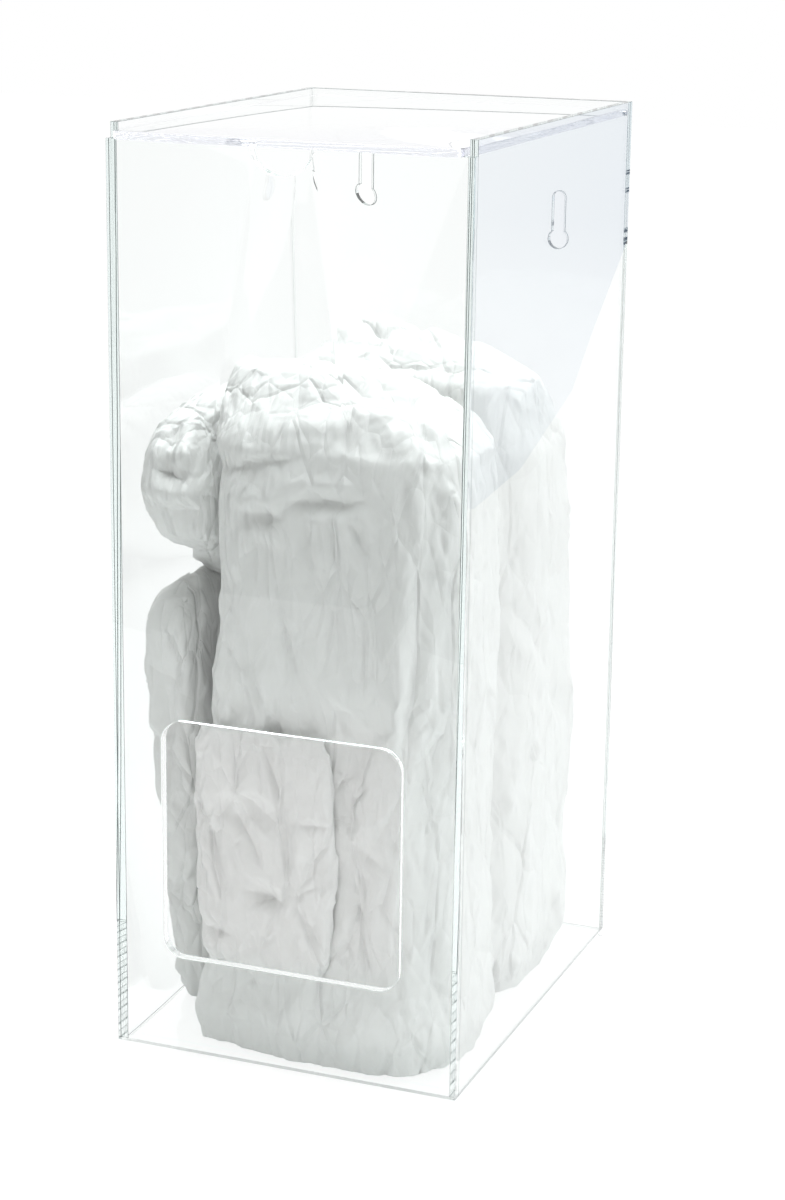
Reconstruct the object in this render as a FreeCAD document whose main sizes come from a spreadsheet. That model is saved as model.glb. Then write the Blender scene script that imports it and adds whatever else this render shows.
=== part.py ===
import FreeCAD, Part
import math
import os
import random
import Sketcher

# Clear acrylic dispenser for disposable protective wear, with the garments in it.
# Axes: X to the right, Y to the back, Z up. The origin is the middle of the base's underside.
# Sizes are in mm.
# Every driving size is a cell of the sheet below. The bodies are bound to the cells.

doc = FreeCAD.newDocument("dispenser")
sizes = doc.addObject("Spreadsheet::Sheet", "Sizes")

DRIVING = [
    ("case_width", 216.0, "over the two side panels"),
    ("case_depth", 286.0, "from the front panel's face to the back panel's face"),
    ("case_height", 552.0, "from the base's underside to the top of the side panels"),
    ("sheet", 4.75, "thickness of the side panels, the back panel and the lid"),
    ("heavy_sheet", 6.0, "thickness of the base and the front panel"),
    ("lip", 7.0, "how far the base and the lid reach in front of the front panel"),
    ("base_corner", 13.0, "radius of the base's front corners"),
    ("lid_corner", 7.0, "radius of the lid's front corners"),
    ("lid_sink", 3.9, "how far the lid's top lies below the top of the side panels"),
    ("lid_side_gap", 0.7, "between the lid and each side panel"),
    ("lid_rear_gap", 2.25, "between the lid and the back panel"),
    ("edge_polish", 0.8, "rounding that flame polishing leaves on a free edge"),
    ("pin_radius", 1.5, "hinge pin"),
    ("pin_slack", 0.05, "running clearance of the pin in the lid, on the radius"),
    ("pin_reach", 9.0, "how far a hinge pin goes into the lid"),
    ("pin_setback", 7.25, "from the back panel's inner face to the hinge axis"),
    ("opening_shift", -2.5, "how far window and notch sit off the middle of the front"),
    ("window_width", 149.0, "dispensing window"),
    ("window_height", 146.0, "dispensing window"),
    ("window_bottom", 65.5, "height of the window's lower edge over the base's underside"),
    ("window_corner", 13.0, "radius of the window's corners"),
    ("notch_radius", 18.5, "finger notch in the front panel's top edge"),
    ("notch_depth", 15.7, "finger notch, down from the front panel's top edge"),
    ("keyhole_spacing", 120.0, "between the two keyholes"),
    ("keyhole_height", 465.0, "from the base's underside to the middle of the entry hole"),
    ("entry_radius", 6.2, "keyhole's round entry hole, which a screw head passes"),
    ("neck_radius", 4.0, "half the width of the keyhole's slot"),
    ("neck_rise", 26.0, "from the entry hole's middle to the middle of the slot's round end"),
    ("fill_height", 402.0, "how high the highest garment stands over the base's top"),
    ("cloth_gap", 0.4, "between a garment's outline and what it lies against"),
    ("window_gap", 2.2, "between the garments and the front panel"),
    ("pleat_depth", 2.0, "depth of the pleats in a garment's outline"),
    ("crease_depth", 2.5, "depth of the creases between the pleats"),
]

WORKED_OUT = [
    ("total_depth", "case_depth + lip"),
    ("front_face", "lip - total_depth / 2"),
    ("front_inside", "front_face + heavy_sheet"),
    ("back_inside", "front_face + case_depth - sheet"),
    ("inside_width", "case_width - 2 * sheet"),
    ("inside_depth", "case_depth - heavy_sheet - sheet"),
    ("wall_height", "case_height - heavy_sheet"),
    ("lid_bottom", "case_height - lid_sink - sheet"),
    ("front_height", "lid_bottom - heavy_sheet"),
    ("lid_width", "inside_width - 2 * lid_side_gap"),
    ("lid_length", "back_inside - lid_rear_gap - front_face + lip"),
    ("hinge_place", "back_inside - pin_setback"),
    ("hinge_height", "lid_bottom + sheet / 2"),
    ("pin_length", "sheet + lid_side_gap + pin_reach"),
    ("window_rise", "window_bottom - heavy_sheet"),
    ("notch_centre", "front_height - notch_depth + notch_radius"),
    ("keyhole_across", "keyhole_spacing / 2"),
    ("keyhole_rise", "keyhole_height - heavy_sheet"),
    ("bore_radius", "pin_radius + pin_slack"),
    ("bore_rise", "sheet / 2"),
    ("lid_bore_along", "hinge_place - front_face + lip"),
    ("side_hole_along", "hinge_place - front_inside"),
    ("side_hole_rise", "hinge_height - heavy_sheet"),
]


def fill_sheet():
    """Write the driving sizes and the sizes worked out from them."""
    for row, (name, value, note) in enumerate(DRIVING, start=1):
        sizes.set(f"A{row}", name)
        sizes.set(f"B{row}", str(value))
        sizes.set(f"C{row}", note)
        sizes.setAlias(f"B{row}", name)
    for row, (name, formula) in enumerate(WORKED_OUT, start=len(DRIVING) + 1):
        sizes.set(f"A{row}", name)
        sizes.set(f"B{row}", "=" + formula)
        sizes.setAlias(f"B{row}", name)
    doc.recompute()


def size(name):
    """A size of the sheet as a number."""
    return float(sizes.get(name))


def bound(item, prop, formula):
    """Bind a property to a formula in which every word is a cell of the sheet."""
    words = formula.split()
    item.setExpression(prop, " ".join("Sizes." + w if w[0].isalpha() else w for w in words))


# Helpers for the flat panels

QUARTER_TURN = math.pi / 2
# The ends and the middle of a line or an arc, and the sketch's own origin, as constraints name them
START, END, MIDDLE = range(1, 4)
ORIGIN = (-1, START)


def new_body(label, **place):
    """A body that is moved by formulas for x, y and z."""
    body = doc.addObject("PartDesign::Body", label + "_body")
    body.Label = label
    for axis, formula in place.items():
        bound(body, "Placement.Base." + axis, formula)
    return body


def plane_of(body, role):
    """The body's own origin plane, for instance XY_Plane."""
    return next(f for f in body.Origin.OriginFeatures if f.Role == role)


def new_sketch(body, role, name, offset=None):
    """A sketch on one of the body's origin planes, moved off it by a formula if one is given."""
    sketch = body.newObject("Sketcher::SketchObject", f"{body.Label}_{name}")
    sketch.AttachmentSupport = (plane_of(body, role), "")
    sketch.MapMode = "FlatFace"
    if offset:
        bound(sketch, "AttachmentOffset.Base.z", offset)
    return sketch


def point(across, up):
    return FreeCAD.Vector(across, up, 0)


def named(sketch, name, constraint, formula):
    """Add a constraint that measures something, and bind it to a formula."""
    index = sketch.addConstraint(constraint)
    sketch.renameConstraint(index, name)
    bound(sketch, "Constraints." + name, formula)


def rectangle(sketch, width, height, low_corners=None, all_corners=None, middle=None, bottom=None):
    """A rectangle on the sketch's upright axis, with its bottom edge on the other axis.

    low_corners or all_corners names the radius of the corners that are round. middle and bottom name
    how far it is shifted to the right and up. The edges run bottom, right, top, left.
    """
    half, tall = size(width) / 2, size(height)
    radius = size(low_corners or all_corners) if low_corners or all_corners else 0.0
    shift = size(middle) if middle else 0.0
    base = size(bottom) if bottom else 0.0
    round_top = radius if all_corners else 0.0
    left, right, top = shift - half, shift + half, base + tall
    ends = [
        (point(left + radius, base), point(right - radius, base)),
        (point(right, base + radius), point(right, top - round_top)),
        (point(right - round_top, top), point(left + round_top, top)),
        (point(left, top - round_top), point(left, base + radius)),
    ]
    edges = [sketch.addGeometry(Part.LineSegment(a, b)) for a, b in ends]
    corners = [
        (low_corners or all_corners, point(right - radius, base + radius), -QUARTER_TURN),
        (all_corners, point(right - round_top, top - round_top), 0.0),
        (all_corners, point(left + round_top, top - round_top), QUARTER_TURN),
        (low_corners or all_corners, point(left + radius, base + radius), math.pi),
    ]
    arcs = []
    for edge, following, (is_round, centre, angle) in zip(edges, edges[1:] + edges[:1], corners):
        if is_round:
            circle = Part.Circle(centre, FreeCAD.Vector(0, 0, 1), radius)
            arc = sketch.addGeometry(Part.ArcOfCircle(circle, angle, angle + QUARTER_TURN))
            sketch.addConstraint(Sketcher.Constraint("Tangent", edge, END, arc, START))
            sketch.addConstraint(Sketcher.Constraint("Tangent", arc, END, following, START))
            arcs.append(arc)
        else:
            sketch.addConstraint(Sketcher.Constraint("Coincident", edge, END, following, START))
    for edge in (edges[0], edges[2]):
        sketch.addConstraint(Sketcher.Constraint("Horizontal", edge))
    for edge in (edges[1], edges[3]):
        sketch.addConstraint(Sketcher.Constraint("Vertical", edge))
    if arcs:
        corner = Sketcher.Constraint("Radius", arcs[0], radius)
        named(sketch, "corner", corner, low_corners or all_corners)
        for arc in arcs[1:]:
            sketch.addConstraint(Sketcher.Constraint("Equal", arcs[0], arc))
    to_right = Sketcher.Constraint("DistanceX", *ORIGIN, edges[1], START, right)
    named(sketch, "right_side", to_right, f"{width} / 2" + (f" + {middle}" if middle else ""))
    to_left = Sketcher.Constraint("DistanceX", edges[3], START, *ORIGIN, -left)
    named(sketch, "left_side", to_left, f"{width} / 2" + (f" - {middle}" if middle else ""))
    if bottom:
        rise = Sketcher.Constraint("DistanceY", *ORIGIN, edges[0], START, base)
        named(sketch, "low_side", rise, bottom)
    else:
        sketch.addConstraint(Sketcher.Constraint("PointOnObject", edges[0], START, -1))
    upright = Sketcher.Constraint("DistanceY", edges[0], START, edges[2], START, tall)
    named(sketch, "height", upright, height)


def hole(sketch, radius, across, up):
    """A circle. The three names are those of its radius and of its middle's place."""
    middle = point(size(across), size(up))
    circle = sketch.addGeometry(Part.Circle(middle, FreeCAD.Vector(0, 0, 1), size(radius)))
    named(sketch, "radius", Sketcher.Constraint("Radius", circle, size(radius)), radius)
    to_side = Sketcher.Constraint("DistanceX", *ORIGIN, circle, MIDDLE, middle.x)
    named(sketch, "across", to_side, across)
    rise = Sketcher.Constraint("DistanceY", *ORIGIN, circle, MIDDLE, middle.y)
    named(sketch, "up", rise, up)


def pad(body, sketch, thickness, reverse=False):
    feature = body.newObject("PartDesign::Pad", sketch.Name + "_pad")
    feature.Profile = sketch
    feature.Reversed = reverse
    bound(feature, "Length", thickness)
    finish(body, feature)


def cut_through(body, sketch):
    """Cut the sketch through the whole panel, both ways from the sketch."""
    base = body.Tip
    feature = body.newObject("PartDesign::Pocket", sketch.Name + "_cut")
    feature.Profile = sketch
    feature.Type = "ThroughAll"
    feature.Midplane = True
    finish(body, feature, base)
    return feature


def cut_in(body, sketch, depth, reverse=False):
    """Cut the sketch to a depth."""
    base = body.Tip
    feature = body.newObject("PartDesign::Pocket", sketch.Name + "_cut")
    feature.Profile = sketch
    feature.Reversed = reverse
    bound(feature, "Length", depth)
    finish(body, feature, base)
    return feature


def mirrored(body, feature):
    """Repeat a cut on the other side of the body's middle."""
    base = body.Tip
    copy = body.newObject("PartDesign::Mirrored", feature.Name + "_mirrored")
    copy.Originals = [feature]
    copy.MirrorPlane = (plane_of(body, "YZ_Plane"), [""])
    finish(body, copy, base)


def polish(body, keep):
    """Round the free edges that keep() picks, as flame polishing does."""
    base = body.Tip
    names = [f"Edge{i}" for i, edge in enumerate(base.Shape.Edges, start=1) if keep(edge)]
    feature = body.newObject("PartDesign::Fillet", base.Name + "_polish")
    feature.Base = (base, names)
    bound(feature, "Radius", "edge_polish")
    finish(body, feature, base)


def finish(body, feature, base=None):
    """Make the feature the body's tip, and see that it took something away from its base if it should."""
    body.Tip = feature
    doc.recompute()
    if base and not 0 < feature.Shape.Volume < base.Shape.Volume:
        raise RuntimeError(f"{feature.Name} took nothing away")


# The acrylic case

# How near to a place an edge has to lie to count as being there
NEAR = 0.01


def at_height(edge, height):
    """Whether the whole edge lies at one height."""
    return abs(edge.BoundBox.ZMin - height) < NEAR and abs(edge.BoundBox.ZMax - height) < NEAR


def at_depth(edge, depth):
    """Whether the whole edge lies at one place from front to back."""
    return abs(edge.BoundBox.YMin - depth) < NEAR and abs(edge.BoundBox.YMax - depth) < NEAR


def make_base():
    """The base, whose front reaches out from under the front panel with two round corners."""
    body = new_body("base_panel", y="- total_depth / 2")
    outline = new_sketch(body, "XY_Plane", "outline")
    rectangle(outline, "case_width", "total_depth", low_corners="base_corner")
    pad(body, outline, "heavy_sheet")
    corner = size("base_corner")

    def free(edge):
        in_front = edge.BoundBox.YMax < corner + NEAR
        return in_front and (at_height(edge, 0.0) or at_height(edge, size("heavy_sheet")))

    polish(body, free)


def make_front():
    """The front panel with the dispensing window and the finger notch."""
    body = new_body("front_panel", y="front_face", z="heavy_sheet")
    outline = new_sketch(body, "XZ_Plane", "outline")
    rectangle(outline, "case_width", "front_height")
    pad(body, outline, "heavy_sheet", reverse=True)
    window = new_sketch(body, "XZ_Plane", "window")
    rectangle(window, "window_width", "window_height", all_corners="window_corner",
              middle="opening_shift", bottom="window_rise")
    cut_through(body, window)
    notch = new_sketch(body, "XZ_Plane", "notch")
    hole(notch, "notch_radius", "opening_shift", "notch_centre")
    cut_through(body, notch)
    half, top = size("case_width") / 2, size("front_height")

    def free(edge):
        box = edge.BoundBox
        inside = box.XMin > NEAR - half and box.XMax < half - NEAR and box.ZMin > NEAR
        on_face = at_depth(edge, 0.0) or at_depth(edge, size("heavy_sheet"))
        return inside and on_face and not at_height(edge, top)

    polish(body, free)


def make_side(label, corner_place):
    """A side panel, between the front and the back panel, with the hole that holds its hinge pin."""
    body = new_body(label, x=corner_place, y="front_inside", z="heavy_sheet")
    outline = new_sketch(body, "YZ_Plane", "outline")
    deep, tall = size("inside_depth"), size("wall_height")
    corners = [point(0, 0), point(deep, 0), point(deep, tall), point(0, tall)]
    edges = [outline.addGeometry(Part.LineSegment(a, b)) for a, b in zip(corners, corners[1:] + corners[:1])]
    for edge, following in zip(edges, edges[1:] + edges[:1]):
        outline.addConstraint(Sketcher.Constraint("Coincident", edge, END, following, START))
    for edge in edges[::2]:
        outline.addConstraint(Sketcher.Constraint("Horizontal", edge))
    for edge in edges[1::2]:
        outline.addConstraint(Sketcher.Constraint("Vertical", edge))
    outline.addConstraint(Sketcher.Constraint("Coincident", edges[0], START, *ORIGIN))
    along = Sketcher.Constraint("DistanceX", edges[0], START, edges[0], END, deep)
    named(outline, "depth", along, "inside_depth")
    upright = Sketcher.Constraint("DistanceY", edges[1], START, edges[1], END, tall)
    named(outline, "height", upright, "wall_height")
    pad(body, outline, "sheet")
    pin_hole = new_sketch(body, "YZ_Plane", "pin_hole")
    hole(pin_hole, "pin_radius", "side_hole_along", "side_hole_rise")
    cut_through(body, pin_hole)


def make_back():
    """The back panel with two keyholes to hang the case from."""
    body = new_body("back_panel", y="back_inside", z="heavy_sheet")
    outline = new_sketch(body, "XZ_Plane", "outline")
    rectangle(outline, "case_width", "wall_height")
    pad(body, outline, "sheet", reverse=True)
    keyhole = new_sketch(body, "XZ_Plane", "keyhole")
    entry, neck, rise = size("entry_radius"), size("neck_radius"), size("neck_rise")
    across, up = size("keyhole_across"), size("keyhole_rise")
    half_opening = math.asin(neck / entry)
    join = up + entry * math.cos(half_opening)
    low, high = QUARTER_TURN + half_opening, 2 * math.pi + QUARTER_TURN - half_opening
    normal = FreeCAD.Vector(0, 0, 1)
    low_circle = Part.Circle(point(across, up), normal, entry)
    high_circle = Part.Circle(point(across, up + rise), normal, neck)
    round_entry = keyhole.addGeometry(Part.ArcOfCircle(low_circle, low, high))
    right = keyhole.addGeometry(Part.LineSegment(point(across + neck, join), point(across + neck, up + rise)))
    round_end = keyhole.addGeometry(Part.ArcOfCircle(high_circle, 0, math.pi))
    left = keyhole.addGeometry(Part.LineSegment(point(across - neck, up + rise), point(across - neck, join)))
    keyhole.addConstraint(Sketcher.Constraint("Coincident", round_entry, END, right, START))
    keyhole.addConstraint(Sketcher.Constraint("Tangent", right, END, round_end, START))
    keyhole.addConstraint(Sketcher.Constraint("Tangent", round_end, END, left, START))
    keyhole.addConstraint(Sketcher.Constraint("Coincident", left, END, round_entry, START))
    keyhole.addConstraint(Sketcher.Constraint("Vertical", right))
    keyhole.addConstraint(Sketcher.Constraint("Vertical", round_entry, MIDDLE, round_end, MIDDLE))
    named(keyhole, "entry", Sketcher.Constraint("Radius", round_entry, entry), "entry_radius")
    named(keyhole, "neck", Sketcher.Constraint("Radius", round_end, neck), "neck_radius")
    to_side = Sketcher.Constraint("DistanceX", *ORIGIN, round_entry, MIDDLE, across)
    named(keyhole, "across", to_side, "keyhole_across")
    upright = Sketcher.Constraint("DistanceY", *ORIGIN, round_entry, MIDDLE, up)
    named(keyhole, "up", upright, "keyhole_rise")
    between = Sketcher.Constraint("DistanceY", round_entry, MIDDLE, round_end, MIDDLE, rise)
    named(keyhole, "rise", between, "neck_rise")
    mirrored(body, cut_through(body, keyhole))


def make_lid():
    """The lid, which lies between the side panels and on the front panel's top edge."""
    body = new_body("lid", y="front_face - lip", z="lid_bottom")
    outline = new_sketch(body, "XY_Plane", "outline")
    rectangle(outline, "lid_width", "lid_length", low_corners="lid_corner")
    pad(body, outline, "sheet")
    bore = new_sketch(body, "YZ_Plane", "bore", offset="lid_width / 2")
    hole(bore, "bore_radius", "lid_bore_along", "bore_rise")
    mirrored(body, cut_in(body, bore, "pin_reach + lid_side_gap"))

    def free(edge):
        return at_height(edge, 0.0) or at_height(edge, size("sheet"))

    polish(body, free)


def make_pin(label, place):
    """A hinge pin, which sits tight in a side panel and loose in the lid."""
    body = new_body(label, x=place, y="hinge_place", z="hinge_height")
    end = new_sketch(body, "YZ_Plane", "end")
    circle = end.addGeometry(Part.Circle(point(0, 0), FreeCAD.Vector(0, 0, 1), size("pin_radius")))
    end.addConstraint(Sketcher.Constraint("Coincident", circle, MIDDLE, *ORIGIN))
    named(end, "radius", Sketcher.Constraint("Radius", circle, size("pin_radius")), "pin_radius")
    pad(body, end, "pin_length")
    base = body.Tip
    bevel = body.newObject("PartDesign::Chamfer", label + "_bevel")
    edges = enumerate(base.Shape.Edges, start=1)
    bevel.Base = (base, [f"Edge{i}" for i, edge in edges if isinstance(edge.Curve, Part.Circle)])
    bound(bevel, "Size", "pin_radius / 5")
    finish(body, bevel, base)


# The garments: soft bundles of flat facets through rings at rising heights, creased as cloth is

RING_POINTS = 32
# A ring's shape: 1 is an ellipse, and less is squarer
SQUARENESS = 0.55


def crease(place, height):
    """A share from 0 to 1 that jumps from facet to facet and is the same in every run."""
    return random.Random(f"{place} {height:.4f}").random()


def ring(height, left, right, front, rear, pleats):
    """The points of one ring of a bundle's skin.

    The five places are shares: of fill_height for the height, and of the case's inside width and depth
    for the others. The ring is a rounded square that pleats and creases draw in, so it never passes the
    places given.
    """
    wide = size("inside_width") - 2 * size("cloth_gap")
    deep = size("inside_depth") - size("window_gap") - size("cloth_gap")
    x_start, y_start = -wide / 2, size("front_inside") + size("window_gap")
    half_x, half_y = (right - left) * wide / 2, (rear - front) * deep / 2
    x_middle, y_middle = x_start + left * wide + half_x, y_start + front * deep + half_y
    z = size("heavy_sheet") + size("cloth_gap") + height * size("fill_height")
    points = []
    for i in range(RING_POINTS):
        angle = 2 * math.pi * i / RING_POINTS
        pleat = size("pleat_depth") * (1 - math.cos(pleats * angle)) / 2
        drawn_in = pleat + size("crease_depth") * crease(i, height)
        shrink = 1 - drawn_in / max(half_x, half_y)
        c, s = math.cos(angle), math.sin(angle)
        across = math.copysign(abs(c) ** SQUARENESS, c) * half_x * shrink
        along = math.copysign(abs(s) ** SQUARENESS, s) * half_y * shrink
        points.append(FreeCAD.Vector(x_middle + across, y_middle + along, z))
    return points


def flat(points):
    return Part.Face(Part.makePolygon(points + points[:1]))


def bundle(label, levels, pleats):
    """A garment: its skin of flat facets has a ring at each level and one halfway between each two."""
    places = [levels[0]]
    for low, high in zip(levels, levels[1:]):
        places.append(tuple((a + b) / 2 for a, b in zip(low, high)))
        places.append(high)
    rings = [ring(*place, pleats) for place in places]
    faces = [flat(rings[0]), flat(rings[-1])]
    for low, high in zip(rings, rings[1:]):
        for i in range(RING_POINTS):
            following = (i + 1) % RING_POINTS
            faces.append(flat([low[i], low[following], high[following]]))
            faces.append(flat([low[i], high[following], high[i]]))
    skin = Part.Compound(faces)
    skin.sewShape()
    feature = doc.addObject("Part::Feature", label)
    feature.Label = label
    feature.Shape = Part.Solid(skin.Shells[0])


def make_garments():
    """The five visible garments. Each level gives height, left, right, front and rear as shares."""
    bundle("garment_front", [
        (0.000, 0.15, 0.93, 0.020, 0.40),
        (0.060, 0.13, 0.97, 0.000, 0.44),
        (0.130, 0.14, 0.97, 0.045, 0.44),
        (0.300, 0.14, 0.97, 0.050, 0.44),
        (0.480, 0.14, 0.97, 0.045, 0.44),
        (0.570, 0.15, 0.98, 0.000, 0.44),
        (0.700, 0.22, 0.975, 0.000, 0.44),
        (0.850, 0.215, 0.945, 0.005, 0.44),
        (0.895, 0.190, 0.925, 0.020, 0.43),
        (0.930, 0.170, 0.870, 0.075, 0.42),
        (0.965, 0.165, 0.740, 0.135, 0.39),
        (0.990, 0.190, 0.540, 0.190, 0.31),
    ], pleats=5)
    bundle("garment_rear", [
        (0.000, 0.16, 0.90, 0.48, 0.86),
        (0.080, 0.08, 0.98, 0.46, 0.90),
        (0.200, 0.06, 0.99, 0.46, 0.94),
        (0.335, 0.06, 0.99, 0.46, 0.99),
        (0.550, 0.06, 0.99, 0.46, 0.945),
        (0.740, 0.07, 0.99, 0.46, 0.94),
        (0.850, 0.10, 0.97, 0.46, 0.87),
        (0.950, 0.20, 0.88, 0.50, 0.78),
        (0.990, 0.34, 0.74, 0.60, 0.70),
        (1.000, 0.44, 0.64, 0.63, 0.67),
    ], pleats=5)
    bundle("garment_lower_left", [
        (0.000, 0.02, 0.11, 0.23, 0.42),
        (0.060, 0.00, 0.125, 0.20, 0.43),
        (0.280, 0.00, 0.13, 0.12, 0.43),
        (0.480, 0.00, 0.13, 0.09, 0.43),
        (0.620, 0.00, 0.13, 0.065, 0.43),
        (0.655, 0.01, 0.12, 0.09, 0.42),
        (0.670, 0.03, 0.10, 0.18, 0.38),
    ], pleats=3)
    bundle("garment_upper_left", [
        (0.671, 0.03, 0.10, 0.36, 0.42),
        (0.710, 0.01, 0.18, 0.25, 0.43),
        (0.770, 0.00, 0.20, 0.11, 0.43),
        (0.835, 0.00, 0.20, 0.035, 0.43),
        (0.885, 0.01, 0.165, 0.060, 0.43),
        (0.915, 0.03, 0.145, 0.110, 0.42),
        (0.935, 0.06, 0.13, 0.220, 0.38),
    ], pleats=4)
    bundle("garment_next", [
        (0.140, 0.24, 0.58, 0.016, 0.044),
        (0.160, 0.21, 0.62, 0.004, 0.044),
        (0.270, 0.20, 0.63, 0.008, 0.044),
        (0.380, 0.19, 0.62, 0.000, 0.044),
        (0.470, 0.20, 0.61, 0.000, 0.044),
        (0.500, 0.22, 0.59, 0.012, 0.044),
    ], pleats=4)


# Build, look every piece over and write the files

def write_files():
    doc.recompute()
    os.makedirs("parts", exist_ok=True)
    bodies = [o for o in doc.Objects if o.TypeId == "PartDesign::Body"]
    garments = [o for o in doc.Objects if o.TypeId == "Part::Feature"]
    for item in doc.Objects:
        if {"Invalid", "Error"} & set(item.State):
            raise RuntimeError(f"{item.Name} is {item.State}")
    for piece in bodies + garments:
        if piece.Shape.isNull() or not piece.Shape.isValid() or len(piece.Shape.Solids) != 1:
            raise RuntimeError(f"{piece.Label} is not one sound solid")
        piece.Shape.exportStep(f"parts/{piece.Label}.step")


fill_sheet()
make_base()
make_front()
make_side("left_side_panel", "- case_width / 2")
make_side("right_side_panel", "case_width / 2 - sheet")
make_back()
make_lid()
make_pin("hinge_pin_left", "- case_width / 2")
make_pin("hinge_pin_right", "case_width / 2 - pin_length")
make_garments()
write_files()
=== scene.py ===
import math
from collections import namedtuple

import bmesh
import bpy
import numpy as np
from mathutils import Matrix, Vector, noise
from mathutils.bvhtree import BVHTree


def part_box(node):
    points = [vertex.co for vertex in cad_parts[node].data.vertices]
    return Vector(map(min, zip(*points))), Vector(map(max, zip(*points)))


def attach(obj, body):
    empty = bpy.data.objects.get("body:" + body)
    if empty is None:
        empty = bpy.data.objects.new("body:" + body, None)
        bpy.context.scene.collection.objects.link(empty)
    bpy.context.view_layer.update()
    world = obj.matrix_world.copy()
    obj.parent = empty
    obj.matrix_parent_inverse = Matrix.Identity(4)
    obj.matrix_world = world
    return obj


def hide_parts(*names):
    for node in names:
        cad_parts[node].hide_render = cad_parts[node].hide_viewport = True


bl_info = {
    "name": "Garment dispenser",
    "version": (1, 0, 0),
    "blender": (4, 5, 0),
    "location": "3D Viewport > Sidebar > Dispenser",
    "description": "Dresses a clear dispenser for disposable garments and sets up its studio",
    "category": "Object",
}

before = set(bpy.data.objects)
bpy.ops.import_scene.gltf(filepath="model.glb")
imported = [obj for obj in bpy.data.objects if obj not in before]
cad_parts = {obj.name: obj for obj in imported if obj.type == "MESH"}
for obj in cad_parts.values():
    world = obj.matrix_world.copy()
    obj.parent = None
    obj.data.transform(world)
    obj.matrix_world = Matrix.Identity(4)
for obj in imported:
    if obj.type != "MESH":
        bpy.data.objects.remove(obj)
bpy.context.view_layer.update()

WELDED = ("base_panel", "back_panel", "left_side_panel", "right_side_panel", "front_panel")
PINS = ("hinge_pin_left", "hinge_pin_right")
MM = 0.001
WELD = 0.01 * MM
WHITE = (1.0, 1.0, 1.0, 1.0)

# Edges that turn less than FLAT are taken out of a sheet, those that turn more than CUT are eased, and
# those that turn more than CRISP stay crisp in its shading.
FLAT, CUT, CRISP = math.radians(0.5), math.radians(32), math.radians(20)

DRAPE_FRAMES = 20
BELLY_SIZE = 55 * MM
# The middle of the gathered cuff on the upper left garment.
CUFF = (-0.070, -0.100, 0.355)
# How wide and how high a ridge or a valley of the creases is, as shares of the creases' spacing.
RIDGE = (0.30, 0.055)
VALLEY = (0.14, -0.05)

# A fold runs from start to end, in millimetres, on the face of a garment that looks one way.
# Its places are x and z on the front, y and z on a side, x and y on the top.
Fold = namedtuple("Fold", "face start end depth width")
# A garment's cloth: its first grid and how far it may swell, in millimetres, its share of spare cloth, how
# deep its bellies are and how far apart its creases are, in millimetres, how often its grid is halved, its
# folds, and the seed of its bellies and creases.
Cloth = namedtuple("Cloth", "grid swell spare belly spacing halvings folds seed")

FRONT_FOLDS = (
    Fold("front", (-32, 338), (-25, 318), 2.5, 3.0),
    Fold("front", (5, 342), (14, 296), 3.0, 3.5),
    Fold("front", (32, 342), (44, 320), 2.5, 3.0),
    Fold("front", (-54, 310), (-36, 273), 3.0, 3.5),
    Fold("front", (-51, 289), (-32, 262), 3.0, 3.0),
    Fold("front", (-32, 262), (-21, 212), 3.5, 3.0),
    Fold("front", (-11, 288), (11, 210), 3.5, 3.5),
    Fold("front", (26, 280), (39, 235), 2.5, 3.0),
    Fold("front", (54, 272), (63, 226), 2.5, 3.0),
    Fold("front", (79, 371), (89, 299), 2.5, 4.0),
    Fold("front", (64, 370), (77, 298), 2.5, 4.0),
    Fold("front", (26, 192), (30, 171), 2.5, 3.0),
    Fold("front", (30, 171), (46, 137), 2.5, 3.0),
    Fold("front", (46, 137), (31, 63), 2.5, 3.0),
    Fold("front", (33, 147), (55, 132), 2.0, 3.0),
    Fold("front", (36, 117), (45, 90), 2.5, 3.0),
    Fold("front", (-61, 21), (-2, 25), 2.5, 4.0),
    Fold("front", (17, 47), (30, 43), 2.0, 3.0),
    Fold("front", (-5, 345), (44, 348), 6.0, 4.0),
    Fold("front", (-57, 357), (4, 370), 7.0, 7.0),
    Fold("front", (-32, 336), (-6, 334), 5.0, 4.0),
    Fold("top", (-8, -100), (87, -70), 4.0, 6.0),
    Fold("right", (-40, 340), (-55, 220), 3.0, 5.0),
    Fold("right", (-90, 320), (-80, 180), 3.0, 5.0),
)
NEXT_FOLDS = (
    Fold("front", (-63, 168), (-38, 103), 3.5, 3.0),
    Fold("front", (-41, 165), (-12, 120), 4.0, 3.5),
    Fold("front", (-17, 202), (-3, 164), 3.5, 3.0),
    Fold("front", (-28, 111), (-3, 106), 7.0, 6.0),
    Fold("front", (-3, 164), (1, 109), 3.5, 2.5),
    Fold("front", (0, 155), (27, 157), 1.5, 2.0),
    Fold("front", (-1, 109), (28, 125), 1.5, 2.0),
    Fold("front", (4, 107), (23, 75), 3.0, 3.0),
    Fold("front", (-60, 84), (-35, 80), 3.0, 4.0),
)
REAR_FOLDS = (
    Fold("right", (21, 313), (6, 267), 4.0, 5.0),
    Fold("right", (6, 267), (60, 202), 4.0, 5.0),
    Fold("right", (60, 202), (95, 166), 4.0, 5.0),
    Fold("right", (100, 300), (85, 220), 3.0, 5.0),
    Fold("right", (128, 330), (132, 30), -9.0, 22.0),
    Fold("top", (10, 60), (4, 30), 5.0, 5.0),
    Fold("top", (20, 70), (4, 30), 4.0, 5.0),
    Fold("top", (-57, 60), (17, 50), 3.0, 6.0),
)
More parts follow.
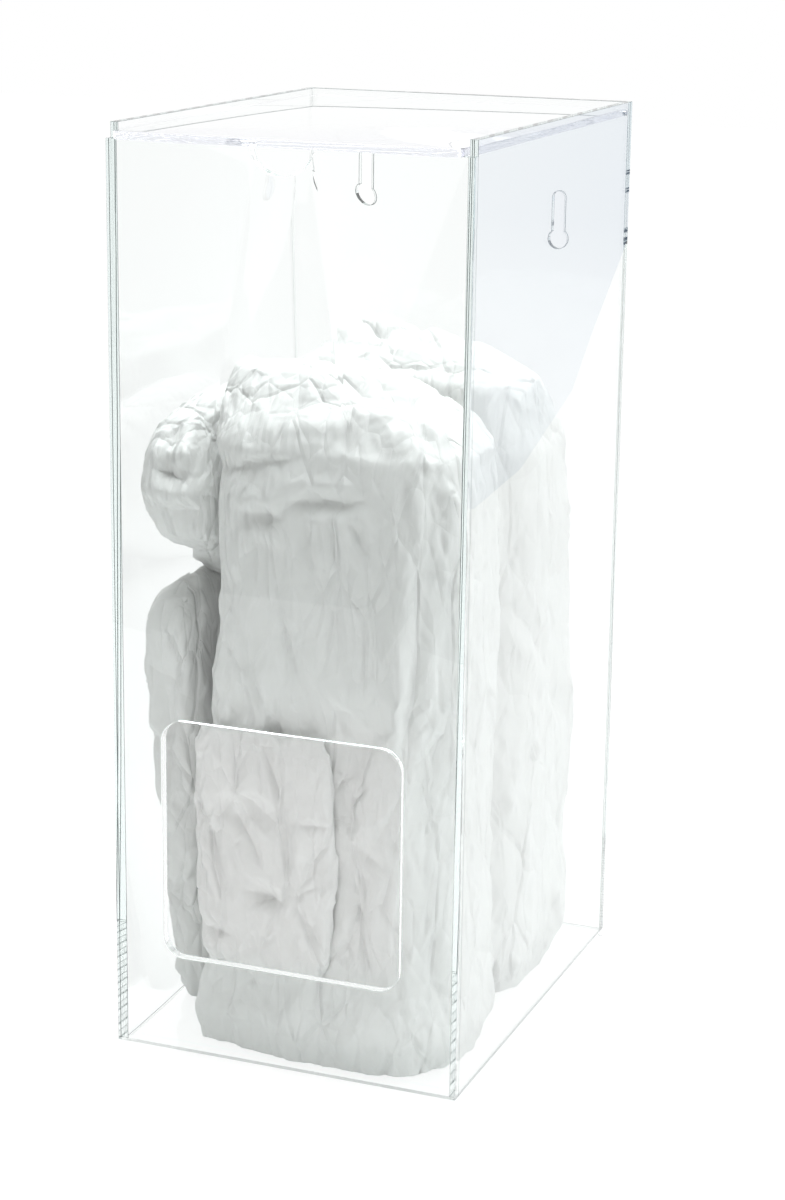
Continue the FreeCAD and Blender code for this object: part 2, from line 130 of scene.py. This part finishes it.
UPPER_LEFT_FOLDS = (
    Fold("front", (-91, 357), (-66, 350), 6.0, 4.0),
    Fold("front", (-86, 327), (-66, 329), 4.0, 5.0),
    Fold("front", (-84, 378), (-80, 352), 4.0, 3.0),
    Fold("front", (-70, 384), (-68, 352), 4.0, 3.0),
    Fold("left", (-60, 372), (-70, 300), 3.0, 5.0),
    Fold("left", (-90, 360), (-95, 320), 3.0, 4.0),
)
LOWER_LEFT_FOLDS = (
    Fold("front", (-92, 250), (-88, 120), 2.0, 5.0),
    Fold("left", (-60, 250), (-70, 80), 3.0, 6.0),
    Fold("left", (-108, 268), (-106, 30), -7.0, 16.0),
)

GARMENTS = {
    "garment_rear": Cloth(4.5, 6.0, 0.14, 3.0, 22, 1, REAR_FOLDS, 11),
    "garment_lower_left": Cloth(4.5, 6.0, 0.08, 1.5, 26, 1, LOWER_LEFT_FOLDS, 23),
    "garment_upper_left": Cloth(4.5, 6.0, 0.25, 3.0, 12, 2, UPPER_LEFT_FOLDS, 37),
    "garment_front": Cloth(3.6, 6.0, 0.12, 2.0, 20, 1, FRONT_FOLDS, 5),
    "garment_next": Cloth(4.0, 3.0, 0.12, 1.5, 16, 2, NEXT_FOLDS, 53),
}


class DispenserAcrylic(bpy.types.PropertyGroup):
    """The clear sheet that the case is made of."""

    tint: bpy.props.FloatVectorProperty(
        name="Tint", description="Colour of a long look through the sheet",
        default=(0.60, 0.78, 0.75), subtype="COLOR", min=0.0, max=1.0)
    lid_tint: bpy.props.FloatVectorProperty(
        name="Lid tint", description="Colour of a long look through the lid",
        default=(0.66, 0.65, 0.80), subtype="COLOR", min=0.0, max=1.0)
    # Painted shade: the dark grey painted on the eased edges, standing in for the shade and dark reflections
    # that a clear edge shows.
    edge: bpy.props.FloatVectorProperty(
        name="Edge", description="Colour of the eased edges",
        default=(0.16, 0.19, 0.19), subtype="COLOR", min=0.0, max=1.0)
    depth: bpy.props.FloatProperty(
        name="Tint depth", description="How soon the tint shows, per metre of sheet", default=1.0)
    haze: bpy.props.FloatProperty(
        name="Haze", description="Roughness where the sheet has been wiped", default=0.006)
    hair: bpy.props.FloatProperty(
        name="Hair", description="How far welded sheets reach into each other",
        default=0.00003, unit="LENGTH", precision=6)
    chamfer: bpy.props.FloatProperty(
        name="Chamfer", description="How much the sheets' edges are eased", default=0.0002, unit="LENGTH",
        precision=5)


class DispenserCloth(bpy.types.PropertyGroup):
    """The non-woven garments in the case."""

    colour: bpy.props.FloatVectorProperty(
        name="Colour", description="Colour of the cloth where it is thick",
        default=(0.845, 0.85, 0.838), subtype="COLOR", min=0.0, max=1.0)
    stiffness: bpy.props.FloatProperty(
        name="Stiffness", description="How much the cloth resists bending, so how wide it buckles",
        default=1.5)
    clearance: bpy.props.FloatProperty(
        name="Clearance", description="Air kept between the cloth and what is beside it",
        default=0.0004, unit="LENGTH")


class DispenserStudio(bpy.types.PropertyGroup):
    """The floor, lamps and camera."""

    surround: bpy.props.FloatProperty(
        name="Surround", description="Strength of the light from all sides", default=0.41)
    key: bpy.props.FloatProperty(
        name="Overhead lamp", description="Power of the large lamp above", default=34.0, unit="POWER")
    side: bpy.props.FloatProperty(
        name="Side lamp", description="Power of the lamp at the right", default=7.0, unit="POWER")
    low: bpy.props.FloatProperty(
        name="Low lamp", description="Power of the strip that lights the foot of the front",
        default=0.24, unit="POWER")
    rim: bpy.props.FloatProperty(
        name="Rim lamp", description="Power of the lamp behind, at the left", default=2.0, unit="POWER")
    lens: bpy.props.FloatProperty(
        name="Lens", description="Focal length of the camera", default=80.94, subtype="DISTANCE_CAMERA")


class Value:
    """A shader socket that sums and products can be written with."""

    def __init__(self, graph, socket):
        self.graph = graph
        self.socket = socket

    def combined(self, operation, first, second):
        return self.graph.out("ShaderNodeMath", {"operation": operation}, {0: first, 1: second})

    def __add__(self, other):
        return self.combined("ADD", self, other)

    def __sub__(self, other):
        return self.combined("SUBTRACT", self, other)

    def __rsub__(self, other):
        return self.combined("SUBTRACT", other, self)

    def __mul__(self, other):
        return self.combined("MULTIPLY", self, other)

    __radd__ = __add__
    __rmul__ = __mul__

    def more_of(self, other):
        return self.combined("MAXIMUM", self, other)

    def less_of(self, other):
        return self.combined("MINIMUM", self, other)


class Graph:
    """One node tree. Every node but those of the maths is made by add."""

    def __init__(self, tree):
        self.tree = tree
        tree.nodes.clear()

    def add(self, kind, settings, inputs):
        node = self.tree.nodes.new(kind)
        for name, value in settings.items():
            setattr(node, name, value)
        for name, value in inputs.items():
            if isinstance(value, Value):
                self.tree.links.new(value.socket, node.inputs[name])
            else:
                node.inputs[name].default_value = value
        return node

    def out(self, kind, settings, inputs, output=0):
        node = self.add(kind, settings, inputs)
        return Value(self, node.outputs[output])

    def place(self):
        return self.out("ShaderNodeTexCoord", {}, {}, "Object")

    def ray(self, name):
        return self.out("ShaderNodeLightPath", {}, {}, name)

    def clouds(self, scale, detail=2.0):
        return self.out("ShaderNodeTexNoise", {}, {
            "Vector": self.place(), "Scale": scale, "Detail": detail}, "Fac")

    def bent(self, place, scale, reach):
        """A place moved about by soft clouds, so that what is straight in it bends a little."""
        drift = self.out("ShaderNodeTexNoise", {}, {"Vector": place, "Scale": scale, "Detail": 1.0}, "Color")
        return self.out("ShaderNodeVectorMath", {"operation": "MULTIPLY_ADD"}, {
            0: drift, 1: (reach, reach, reach), 2: place})

    def flats(self, scale, place):
        """Patches that rise from sharp straight edges."""
        return self.out("ShaderNodeTexVoronoi", {"feature": "DISTANCE_TO_EDGE"}, {
            "Vector": place, "Scale": scale}, "Distance")

    def mix(self, share, low, high):
        """A colour between low and high. Only the sockets of its own kind are enabled on such a node."""
        node = self.add("ShaderNodeMix", {"data_type": "RGBA"}, {})
        for name, value in {"Factor": share, "A": low, "B": high}.items():
            socket = next(s for s in node.inputs if s.name == name and s.enabled)
            if isinstance(value, Value):
                self.tree.links.new(value.socket, socket)
            else:
                socket.default_value = value
        return Value(self, next(s for s in node.outputs if s.enabled))

    def bump(self, height, distance):
        return self.out("ShaderNodeBump", {}, {"Height": height, "Distance": distance, "Strength": 1.0})


def solid_colour(rgb, share=1.0):
    return (*[share * part for part in rgb], 1.0)


def new_material(name):
    material = bpy.data.materials.new(name)
    material.use_nodes = True
    return material, Graph(material.node_tree)


def make_acrylic(look, name, tint):
    """Clear cast sheet, which lets the lamps through and shows its tint the longer one looks into it."""
    material, graph = new_material(name)
    wiped = graph.clouds(14.0, detail=2.0)
    waves = graph.clouds(9.0, detail=0.0)
    glass = graph.out("ShaderNodeBsdfPrincipled", {}, {
        "Base Color": (0.985, 0.995, 0.992, 1.0),
        "Roughness": wiped * look.haze,
        "IOR": 1.49,
        "Transmission Weight": 1.0,
        "Normal": graph.bump(waves, 0.00004)})
    clear = graph.out("ShaderNodeBsdfTransparent", {}, {"Color": (0.965, 0.975, 0.972, 1.0)})
    lit_through = graph.ray("Is Shadow Ray").more_of(graph.ray("Is Diffuse Ray"))
    surface = graph.out("ShaderNodeMixShader", {}, {0: lit_through, 1: glass, 2: clear})
    depth = graph.out("ShaderNodeVolumeAbsorption", {}, {
        "Color": solid_colour(tint), "Density": look.depth})
    graph.add("ShaderNodeOutputMaterial", {}, {"Surface": surface, "Volume": depth})
    return material


def make_painted_edge_line(look):
    """The eased edge of a sheet, with fine strokes in its bump, roughness and tone. Its colour is painted
    shade: a thin dark grey line that stands in for the shade and dark reflections that a clear edge shows.
    """
    material, graph = new_material("painted_edge_line")
    strokes = graph.clouds(900.0, detail=2.0)
    # The base colour is painted shade: a dark grey, lighter and darker along the strokes, that stands in for
    # the shade and dark reflections of a clear edge.
    edge = graph.out("ShaderNodeBsdfPrincipled", {}, {
        "Base Color": graph.mix(strokes, solid_colour(look.edge, 0.7), solid_colour(look.edge, 1.3)),
        "Roughness": strokes * 0.3 + 0.2,
        "Normal": graph.bump(strokes, 0.00005)})
    graph.add("ShaderNodeOutputMaterial", {}, {"Surface": edge})
    return material


def make_steel():
    """Bright drawn steel, with fine marks round the pins."""
    material, graph = new_material("pin_steel")
    marks = graph.clouds(2500.0, detail=3.0)
    metal = graph.out("ShaderNodeBsdfPrincipled", {}, {
        "Base Color": (0.62, 0.63, 0.65, 1.0),
        "Metallic": 1.0,
        "Roughness": marks * 0.18 + 0.16,
        "Normal": graph.bump(marks, 0.00002)})
    graph.add("ShaderNodeOutputMaterial", {}, {"Surface": metal})
    return material


def make_cloth_material(look):
    """White spun-bonded cloth: fibres, thick and thin places, flats, and sharp straight creases."""
    material, graph = new_material("white_nonwoven")
    thick = graph.clouds(140.0, detail=4.0)
    fibres = graph.clouds(1600.0, detail=1.0)
    place = graph.bent(graph.place(), 18.0, 0.010)
    upright = graph.out("ShaderNodeMapping", {}, {"Vector": place, "Scale": (1.0, 1.0, 0.40)})
    slanted = graph.out("ShaderNodeMapping", {}, {"Vector": place, "Rotation": (0.5, -0.6, 0.3),
                                                  "Scale": (1.0, 0.8, 0.35)})
    some = graph.clouds(22.0, detail=1.0)
    flats = graph.flats(34.0, upright)
    facets = graph.flats(85.0, slanted)
    lines = (flats * 16.0).less_of(1.0)
    fine_lines = (facets * 9.0).less_of(1.0)
    gathers = graph.out("ShaderNodeTexWave", {"bands_direction": "X", "wave_profile": "TRI"}, {
        "Vector": upright, "Scale": 70.0, "Distortion": 6.0, "Detail": 1.0, "Detail Scale": 0.4}, "Fac")
    away = graph.out("ShaderNodeVectorMath", {"operation": "DISTANCE"}, {
        0: graph.place(), 1: CUFF}, "Value")
    gathered = (1.5 - away * 20.0).more_of(0.0).less_of(1.0)
    flat_rise, facet_rise, line_depth, fine_line_depth = 11.0 * MM, 3.0 * MM, 1.1 * MM, 0.4 * MM
    gather_depth, fibre_depth = 0.8 * MM, 0.04 * MM
    crumpled = flats * flat_rise + facets * facet_rise + lines * line_depth + fine_lines * fine_line_depth
    relief = some * crumpled + gathers * gathered * gather_depth + fibres * fibre_depth
    colour = graph.mix(thick, solid_colour(look.colour, 0.95), solid_colour(look.colour, 1.03))
    cloth = graph.out("ShaderNodeBsdfPrincipled", {}, {
        "Base Color": colour,
        "Roughness": fibres * 0.15 + 0.72,
        "Sheen Weight": 0.12,
        "Sheen Roughness": 0.5,
        "Specular IOR Level": 0.3,
        "Normal": graph.bump(relief, 1.0)})
    graph.add("ShaderNodeOutputMaterial", {}, {"Surface": cloth})
    return material


def make_floor_material():
    """White paper: nearly all glow to the eye, and the rest takes the object's soft shadow."""
    material, graph = new_material("studio_paper")
    to_eye, through_sheets = 0.85, 0.65
    grain = graph.clouds(60.0)
    seen = graph.ray("Is Camera Ray").more_of(graph.ray("Is Glossy Ray")) * to_eye
    seen = seen.more_of(graph.ray("Is Transmission Ray") * through_sheets)
    paper = graph.out("ShaderNodeBsdfPrincipled", {}, {
        "Base Color": graph.mix(grain, solid_colour(WHITE[:3], 0.86), solid_colour(WHITE[:3], 0.88)),
        "Roughness": 0.9})
    glow = graph.out("ShaderNodeEmission", {}, {"Color": WHITE, "Strength": 1.12})
    surface = graph.out("ShaderNodeMixShader", {}, {0: seen, 1: paper, 2: glow})
    graph.add("ShaderNodeOutputMaterial", {}, {"Surface": surface})
    return material


def make_card_material(near, far):
    """A tone that turns from near to far, between 1.8 and 3.8 metres behind the case."""
    material, graph = new_material("studio_card")
    back = graph.out("ShaderNodeSeparateXYZ", {}, {0: graph.place()}, "Y")
    share = (back * 0.5 - 0.9).more_of(0.0).less_of(1.0)
    glow = graph.out("ShaderNodeEmission", {}, {"Color": graph.mix(share, near, far), "Strength": 1.0})
    graph.add("ShaderNodeOutputMaterial", {}, {"Surface": glow})
    return material


def add_object(name, data):
    holder = bpy.data.objects.new(name, data)
    bpy.context.scene.collection.objects.link(holder)
    return holder


def dress(node, material):
    """Gives a piece of the frame its material."""
    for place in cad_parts[node].material_slots:
        place.material = material


def merged_copy(node):
    """A copy of a node's mesh without materials, and a bmesh of it with its loose triangles joined."""
    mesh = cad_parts[node].data.copy()
    mesh.materials.clear()
    shape = bmesh.new()
    shape.from_mesh(mesh)
    bmesh.ops.remove_doubles(shape, verts=shape.verts, dist=WELD)
    return mesh, shape


def smooth_shade(mesh):
    for face in mesh.polygons:
        face.use_smooth = True


def make_panel(node, growth, chamfer, materials):
    """A panel with eased edges. Grown a hair, it lets light pass through its welded joints."""
    mesh, shape = merged_copy(node)
    for material in materials:
        mesh.materials.append(material)
    bmesh.ops.dissolve_limit(shape, angle_limit=FLAT, verts=shape.verts, edges=shape.edges)
    sharp = [e for e in shape.edges if e.calc_face_angle() > CUT]
    # The eased faces take the second material, the painted shade of the edge line.
    bmesh.ops.bevel(shape, geom=sharp, affect="EDGES", offset=chamfer, offset_type="OFFSET", segments=2,
                    profile=0.5, material=1, clamp_overlap=True)
    shape.normal_update()
    moves = [v.normal * v.calc_shell_factor() for v in shape.verts]
    for vertex, move in zip(shape.verts, moves):
        vertex.co += growth * move
    shape.to_mesh(mesh)
    shape.free()
    smooth_shade(mesh)
    mesh.set_sharp_from_angle(angle=CRISP)
    panel = add_object(node + "_sheet", mesh)
    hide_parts(node)
    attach(panel, "lid" if node == "lid" else "case")


def vertex_rows(mesh, name):
    """One row of three numbers for each vertex: its place, as co, or its normal."""
    flat = np.empty(3 * len(mesh.vertices))
    mesh.vertices.foreach_get(name, flat)
    return flat.reshape(-1, 3)


def points_of(mesh):
    return vertex_rows(mesh, "co")


def normals_of(mesh):
    return vertex_rows(mesh, "normal")


def put_points(mesh, points):
    mesh.vertices.foreach_set("co", points.ravel())
    mesh.update()


def bake_modifiers(piece):
    """Puts what the modifiers make into the piece's own mesh."""
    evaluated = piece.evaluated_get(bpy.context.evaluated_depsgraph_get())
    baked = bpy.data.meshes.new_from_object(evaluated)
    piece.modifiers.clear()
    worn = piece.data
    piece.data = baked
    bpy.data.meshes.remove(worn)


def surface_tree(piece):
    """A piece's faces, ready to be asked for the place nearest to a point."""
    mesh = piece.data
    return BVHTree.FromPolygons([v.co for v in mesh.vertices], [p.vertices for p in mesh.polygons])


def start_garment(node, voxel):
    """A merged copy of a garment's solid on an even grid."""
    mesh, shape = merged_copy(node)
    shape.to_mesh(mesh)
    shape.free()
    piece = add_object(node + "_cloth", mesh)
    surface = surface_tree(piece)
    grid = piece.modifiers.new("Grid", "REMESH")
    grid.mode = "VOXEL"
    grid.voxel_size = voxel
    bake_modifiers(piece)
    for vertex in piece.data.vertices:
        spot, _, _, distance = surface.find_nearest(vertex.co)
        if distance > voxel:
            vertex.co = spot
    return piece


def drape(pieces, plans, stiffness):
    """Lets spare cloth buckle. All the garments run at once, with no weight and a little air in them."""
    scene = bpy.context.scene
    before = {}
    for node, piece in pieces.items():
        before[node] = points_of(piece.data)
        cloth = piece.modifiers.new("Drape", "CLOTH")
        cloth.settings.quality = 4
        cloth.settings.mass = 0.12
        cloth.settings.tension_stiffness = 12
        cloth.settings.compression_stiffness = 12
        cloth.settings.shear_stiffness = 4
        cloth.settings.bending_stiffness = stiffness
        cloth.settings.shrink_min = -plans[node].spare
        cloth.settings.use_pressure = True
        cloth.settings.uniform_pressure_force = 1.5
        cloth.settings.effector_weights.gravity = 0
        cloth.collision_settings.use_collision = False
    for step in range(1, DRAPE_FRAMES + 1):
        scene.frame_set(step)
    for node, piece in pieces.items():
        bake_modifiers(piece)
        moved = points_of(piece.data) - before[node]
        length = np.linalg.norm(moved, axis=1, keepdims=True)
        most = plans[node].swell * MM
        capped = moved * most * np.tanh(length / most) / np.maximum(length, 1e-9)
        put_points(piece.data, before[node] + capped)
    scene.frame_set(1)


def facing(normals, face):
    """How much of each point looks the way a fold's face does, from 0 to 1."""
    way = {"front": (0, -1, 0), "left": (-1, 0, 0), "right": (1, 0, 0), "top": (0, 0, 1)}[face]
    least, span = 0.15, 0.45
    return np.clip((normals @ np.array(way, float) - least) / span, 0, 1)


def fold_depth(points, fold):
    """The push of one fold at each point: a sharp valley with a soft ridge at each side."""
    first, second = {"front": (0, 2), "left": (1, 2), "right": (1, 2), "top": (0, 1)}[fold.face]
    place = points[:, [first, second]]
    start = np.array(fold.start) * MM
    along = np.array(fold.end) * MM - start
    share = (place - start) @ along / (along @ along)
    nearest = start + np.clip(share, 0, 1)[:, None] * along
    away = np.linalg.norm(place - nearest, axis=1) / (fold.width * MM)
    fade = np.clip(1.25 - np.abs(2 * share - 1), 0, 1)
    valley = -np.exp(-away)
    ridge_height, ridge_away, ridge_width = 0.45, 2.4, 1.3
    ridge = ridge_height * np.exp(-((away - ridge_away) / ridge_width) ** 2)
    return fade * fold.depth * MM * (valley + ridge)


def swell_depth(points, size, seed):
    """Soft hollows and bellies of one size, longer upwards than across."""
    shift = Vector((seed * 1.7, seed * 0.9, seed * 2.3))
    stretched = points * np.array([1.0, 1.0, 0.5]) / size
    return np.array([noise.noise(Vector(place) + shift) for place in stretched])


def crease_depth(points, normals, spacing, seed):
    """Long straight creases, ridges and valleys, that cut the cloth into flats as crumpling does."""
    random = np.random.default_rng(seed)
    depth = np.zeros(len(points))
    order = np.argsort(points[:, 2])
    heights = points[order, 2]
    wide, deep, high = points.max(0) - points.min(0)
    count = int(2 * (wide * deep + deep * high + high * wide) / spacing ** 2)
    for middle in random.integers(0, len(points), count):
        centre, normal = points[middle], normals[middle]
        up = np.array((0.0, 0.0, 1.0)) if abs(normal[2]) < 0.8 else np.array((1.0, 0.3, 0.0))
        up = up - (up @ normal) * normal
        up /= np.linalg.norm(up)
        lean = random.normal(0.0, 0.45)
        along = math.cos(lean) * up + math.sin(lean) * np.cross(normal, up)
        half = random.uniform(0.5, 2.0) * spacing
        width, height = RIDGE if random.random() < 0.5 else VALLEY
        width *= spacing * random.uniform(0.7, 1.3)
        height *= spacing * random.uniform(0.5, 1.5)
        first, last = np.searchsorted(heights, (centre[2] - half, centre[2] + half))
        near = order[first:last]
        offset = points[near] - centre
        run = np.abs(offset @ along) / half
        away = np.linalg.norm(np.cross(offset, along), axis=1) / width
        faces = np.clip(normals[near] @ normal * 2 - 0.6, 0, 1)
        depth[near] += height * faces * np.sqrt(np.clip(1 - run, 0, 1)) * np.clip(1 - away, 0, 1)
    return depth


def crumple(piece, plan):
    """Soft bellies and the plan's own folds, then long creases and short ones, along the cloth's normals."""
    mesh = piece.data
    points, normals = points_of(mesh), normals_of(mesh)
    depth = plan.belly * MM * swell_depth(points, BELLY_SIZE, plan.seed)
    for fold in plan.folds:
        depth += facing(normals, fold.face) * fold_depth(points, fold)
    put_points(mesh, points + normals * depth[:, None])
    for share in (1.0, 0.5):
        points, normals = points_of(mesh), normals_of(mesh)
        depth = crease_depth(points, normals, share * plan.spacing * MM, plan.seed)
        put_points(mesh, points + normals * depth[:, None])


def room(clearance):
    """The space between the panels, as its low and high corners."""
    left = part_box("left_side_panel")[1].x + clearance
    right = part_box("right_side_panel")[0].x - clearance
    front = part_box("front_panel")[1].y + clearance
    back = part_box("back_panel")[0].y - clearance
    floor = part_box("base_panel")[1].z + clearance
    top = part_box("lid")[0].z - clearance
    return (left, front, floor), (right, back, top)


def keep_clear(piece, others, clearance):
    """Keeps a garment in the room between the panels and out of the garments made before it."""
    low, high = room(clearance)
    points = np.clip(points_of(piece.data), low, high)
    reach = 12 * MM
    for other in others:
        tree = surface_tree(other)
        lower, upper = points_of(other.data).min(0), points_of(other.data).max(0)
        close = np.all((points > lower - clearance) & (points < upper + clearance), axis=1)
        for i in np.nonzero(close)[0]:
            here = Vector(points[i])
            spot, normal, _, distance = tree.find_nearest(here, reach)
            if spot and (here - spot).dot(normal) < clearance:
                points[i] = spot + normal * clearance
    put_points(piece.data, np.clip(points, low, high))


def card(name, near, far, corners):
    """A flat card that lights nothing and that the camera doesn't see, only what shines."""
    mesh = bpy.data.meshes.new(name)
    shape = bmesh.new()
    shape.faces.new([shape.verts.new(corner) for corner in corners])
    shape.to_mesh(mesh)
    shape.free()
    mesh.materials.append(make_card_material(near, far))
    holder = add_object(name, mesh)
    holder.visible_camera = False
    holder.visible_diffuse = False
    holder.visible_shadow = False
    holder.visible_transmission = False


def area_lamp(name, place, aim, size, power, colour=(1, 1, 1)):
    """A soft lamp at a place, turned towards its aim, that the camera doesn't see."""
    lamp = bpy.data.lights.new(name, "AREA")
    lamp.shape = "RECTANGLE"
    lamp.size, lamp.size_y = size
    lamp.energy = power
    lamp.color = colour
    holder = add_object(name, lamp)
    holder.location = place
    holder.rotation_mode = "QUATERNION"
    holder.rotation_quaternion = (Vector(aim) - Vector(place)).to_track_quat("-Z", "Y")
    holder.visible_camera = False
    return holder


class DISPENSER_OT_case(bpy.types.Operator):
    """Give the panels and the lid their clear sheet and the pins their steel"""

    bl_idname = "dispenser.case"
    bl_label = "Case"

    def execute(self, context):
        look = context.scene.dispenser_acrylic
        # The edge material paints shade: a dark grey line on the sheets' eased faces.
        edge = make_painted_edge_line(look)
        sheet = make_acrylic(look, "clear_acrylic", look.tint)
        lid_sheet = make_acrylic(look, "clear_acrylic_lid", look.lid_tint)
        for node in WELDED:
            make_panel(node, look.hair, look.chamfer, (sheet, edge))
        make_panel("lid", -2 * look.hair, look.chamfer, (lid_sheet, edge))
        steel = make_steel()
        for node in PINS:
            dress(node, steel)
        return {"FINISHED"}


class DISPENSER_OT_garments(bpy.types.Operator):
    """Make the crumpled garments that fill the lower part of the case"""

    bl_idname = "dispenser.garments"
    bl_label = "Garments"

    def execute(self, context):
        look = context.scene.dispenser_cloth
        material = make_cloth_material(look)
        pieces = {node: start_garment(node, plan.grid * MM) for node, plan in GARMENTS.items()}
        drape(pieces, GARMENTS, look.stiffness)
        done = []
        for node, piece in pieces.items():
            finer = piece.modifiers.new("Finer", "SUBSURF")
            finer.levels = finer.render_levels = GARMENTS[node].halvings
            bake_modifiers(piece)
            crumple(piece, GARMENTS[node])
            keep_clear(piece, done, look.clearance)
            done.append(piece)
            smooth_shade(piece.data)
            piece.data.materials.append(material)
            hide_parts(node)
            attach(piece, "case")
        return {"FINISHED"}


class DISPENSER_OT_studio(bpy.types.Operator):
    """Set up the white floor, the lamps and the camera"""

    bl_idname = "dispenser.studio"
    bl_label = "Studio"

    def execute(self, context):
        look = context.scene.dispenser_studio
        self.make_floor()
        self.make_surround(context, look)
        middle = (0, 0, 0.26)
        cool = (0.965, 0.985, 1.0)
        area_lamp("overhead", (0.05, 0.22, 1.75), middle, (1.5, 1.5), look.key, cool)
        area_lamp("side", (1.5, 0.1, 0.75), middle, (0.8, 1.2), look.side, cool)
        area_lamp("rim", (-1.3, 0.8, 0.8), middle, (0.8, 1.2), look.rim)
        low = area_lamp("low", (-0.05, -0.55, 0.04), (0, -0.13, 0.06), (0.6, 0.06), look.low)
        low.visible_glossy = low.visible_transmission = False
        self.make_cards()
        self.make_camera(context, look)
        return {"FINISHED"}

    def make_cards(self):
        """The dim room round the white paper."""
        pale, blue, grey = (0.70, 0.76, 0.86, 1.0), (0.34, 0.44, 0.62, 1.0), (0.25, 0.26, 0.25, 1.0)
        beyond = 0.002
        curve = ((2.4, 9.0), (1.28, 4.21), (0.87, 2.56), (0.73, 2.01), (0.63, 1.50), (0.61, 1.28))
        card("dim_floor_right", pale, blue, [(6.0, 1.28, beyond), (6.0, 9.0, beyond)] + [
            (across, deep, beyond) for across, deep in curve])
        card("dim_floor_front", grey, grey, [
            (-5.0, -6.0, beyond), (3.0, -6.0, beyond), (3.0, -0.98, beyond), (-5.0, -0.98, beyond)])

    def make_floor(self):
        mesh = bpy.data.meshes.new("floor")
        shape = bmesh.new()
        bmesh.ops.create_grid(shape, x_segments=1, y_segments=1, size=6.0)
        shape.to_mesh(mesh)
        shape.free()
        mesh.materials.append(make_floor_material())
        add_object("floor", mesh)

    def make_surround(self, context, look):
        """White to the eye and to what the sheets show, and a soft light for the rest."""
        world = bpy.data.worlds.new("studio")
        world.use_nodes = True
        context.scene.world = world
        graph = Graph(world.node_tree)
        seen = graph.ray("Is Camera Ray").more_of(graph.ray("Is Transmission Ray"))
        seen = seen.more_of(graph.ray("Is Glossy Ray"))
        warm = (1.0, 0.997, 0.98)
        glow = graph.out("ShaderNodeBackground", {}, {
            "Color": graph.mix(seen, solid_colour(warm, look.surround), WHITE), "Strength": 1.0})
        graph.add("ShaderNodeOutputWorld", {}, {"Surface": glow})

    def make_camera(self, context, look):
        """The photograph's own view, found by fitting the case's corners to it."""
        camera = bpy.data.cameras.new("camera")
        camera.lens = look.lens
        camera.sensor_fit = "VERTICAL"
        camera.sensor_width = camera.sensor_height = 36.0
        place = Matrix.Translation((0.5881, -1.4775, 0.6877))
        turn = Matrix((
            (0.93006, -0.10771, 0.35128),
            (0.36719, 0.23820, -0.89913),
            (0.01318, 0.96523, 0.26109)))
        holder = add_object("camera", camera)
        holder.matrix_world = place @ turn.to_4x4()
        context.scene.camera = holder


class DISPENSER_PT_panel(bpy.types.Panel):
    """The dispenser's pieces and looks"""

    bl_idname = "DISPENSER_PT_panel"
    bl_label = "Garment dispenser"
    bl_space_type = "VIEW_3D"
    bl_region_type = "UI"
    bl_category = "Dispenser"

    def draw(self, context):
        groups = (
            (context.scene.dispenser_acrylic, DISPENSER_OT_case),
            (context.scene.dispenser_cloth, DISPENSER_OT_garments),
            (context.scene.dispenser_studio, DISPENSER_OT_studio))
        for look, operator in groups:
            column = self.layout.column()
            for name in look.bl_rna.properties.keys():
                if name not in ("rna_type", "name"):
                    column.prop(look, name)
            column.operator(operator.bl_idname)


CLASSES = (
    DispenserAcrylic, DispenserCloth, DispenserStudio,
    DISPENSER_OT_case, DISPENSER_OT_garments, DISPENSER_OT_studio, DISPENSER_PT_panel)


def register():
    for made in CLASSES:
        bpy.utils.register_class(made)
    scene = bpy.types.Scene
    scene.dispenser_acrylic = bpy.props.PointerProperty(type=DispenserAcrylic)
    scene.dispenser_cloth = bpy.props.PointerProperty(type=DispenserCloth)
    scene.dispenser_studio = bpy.props.PointerProperty(type=DispenserStudio)


def unregister():
    scene = bpy.types.Scene
    del scene.dispenser_acrylic, scene.dispenser_cloth, scene.dispenser_studio
    for made in reversed(CLASSES):
        bpy.utils.unregister_class(made)


def main():
    register()
    scene = bpy.context.scene
    scene.view_settings.view_transform = "Standard"
    scene.cycles.max_bounces = 64
    scene.cycles.diffuse_bounces = 3
    scene.cycles.glossy_bounces = 60
    scene.cycles.transmission_bounces = 60
    scene.cycles.caustics_reflective = scene.cycles.caustics_refractive = False
    bpy.ops.dispenser.case()
    bpy.ops.dispenser.garments()
    bpy.ops.dispenser.studio()


if __name__ == "__main__":
    main()
